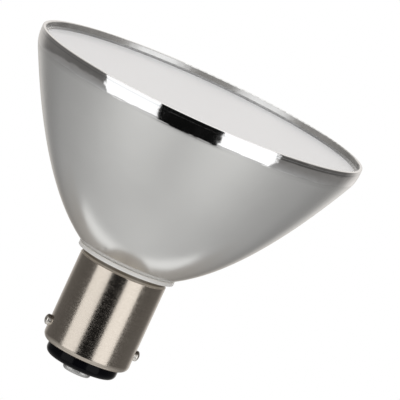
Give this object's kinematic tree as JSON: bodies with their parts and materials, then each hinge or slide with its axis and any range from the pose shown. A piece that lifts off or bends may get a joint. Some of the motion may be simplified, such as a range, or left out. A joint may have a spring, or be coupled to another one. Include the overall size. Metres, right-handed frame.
{
  "type": "led reflector bulb",
  "caption": "Reflector lamp with a satin aluminium paraboloid bowl, polished rim band, recessed frosted front lens, white collar and a small bayonet cap with side pins.",
  "frame": {"origin": "where the axis of the two bayonet pins crosses the lamp axis", "axes": "+Z along the lamp axis towards the mouth of the bowl, +X along the pins"},
  "size_m": [0.0564, 0.0564, 0.0493],
  "materials": {
    "bowl": "satin anodised outside, burnished rim band, bright inside",
    "lens": "frosted, even, slightly glossy",
    "seal": "clear silicone",
    "housing": "white moulded plastic, soft gloss",
    "cement": "tan lamp cement",
    "cap": "nickel plate over brass, fine drawn lines",
    "pins": "bright nickel plate",
    "insulator": "glossy black",
    "solder": "tinned, slightly dull",
    "thermal_pad": "grey silicone pad",
    "led_board": "white solder mask on aluminium",
    "dam": "white silicone",
    "phosphor": "yellow phosphor gel",
    "screw": "zinc plated",
    "circuit_board": "green solder mask",
    "package": "black moulded package",
    "can": "sleeved aluminium can",
    "ferrite": "dark ferrite",
    "copper": "enamelled copper",
    "resistor": "lacquered",
    "disc": "dipped ceramic",
    "chip": "fired ceramic chip",
    "wire_red": "insulated wire",
    "wire_black": "insulated wire",
    "wire_white": "insulated wire"
  },
  "bodies": {
    "root": {"reflector": "bowl", "front_lens": "lens", "lens_seal": "seal", "driver_housing": "housing", "cap_cement": "cement", "cap_shell": "cap", "bayonet_pin_left": "pins", "bayonet_pin_right": "pins", "cap_insulator": "insulator", "contact_a": "solder", "contact_b": "solder", "thermal_pad": "thermal_pad", "led_board": "led_board", "led_dam": "dam", "led_phosphor": "phosphor", "board_screws": "screw", "driver_board": "circuit_board", "bridge_rectifier": "package", "driver_chip": "package", "smoothing_capacitor": "can", "inductor_core": "ferrite", "inductor_winding": "copper", "fuse_resistor": "resistor", "ceramic_capacitor": "disc", "chip_resistors": "chip", "input_wire_a": "wire_white", "input_wire_b": "wire_white", "led_wire_a": "wire_red", "led_wire_b": "wire_black"}
  },
  "joints": []
}
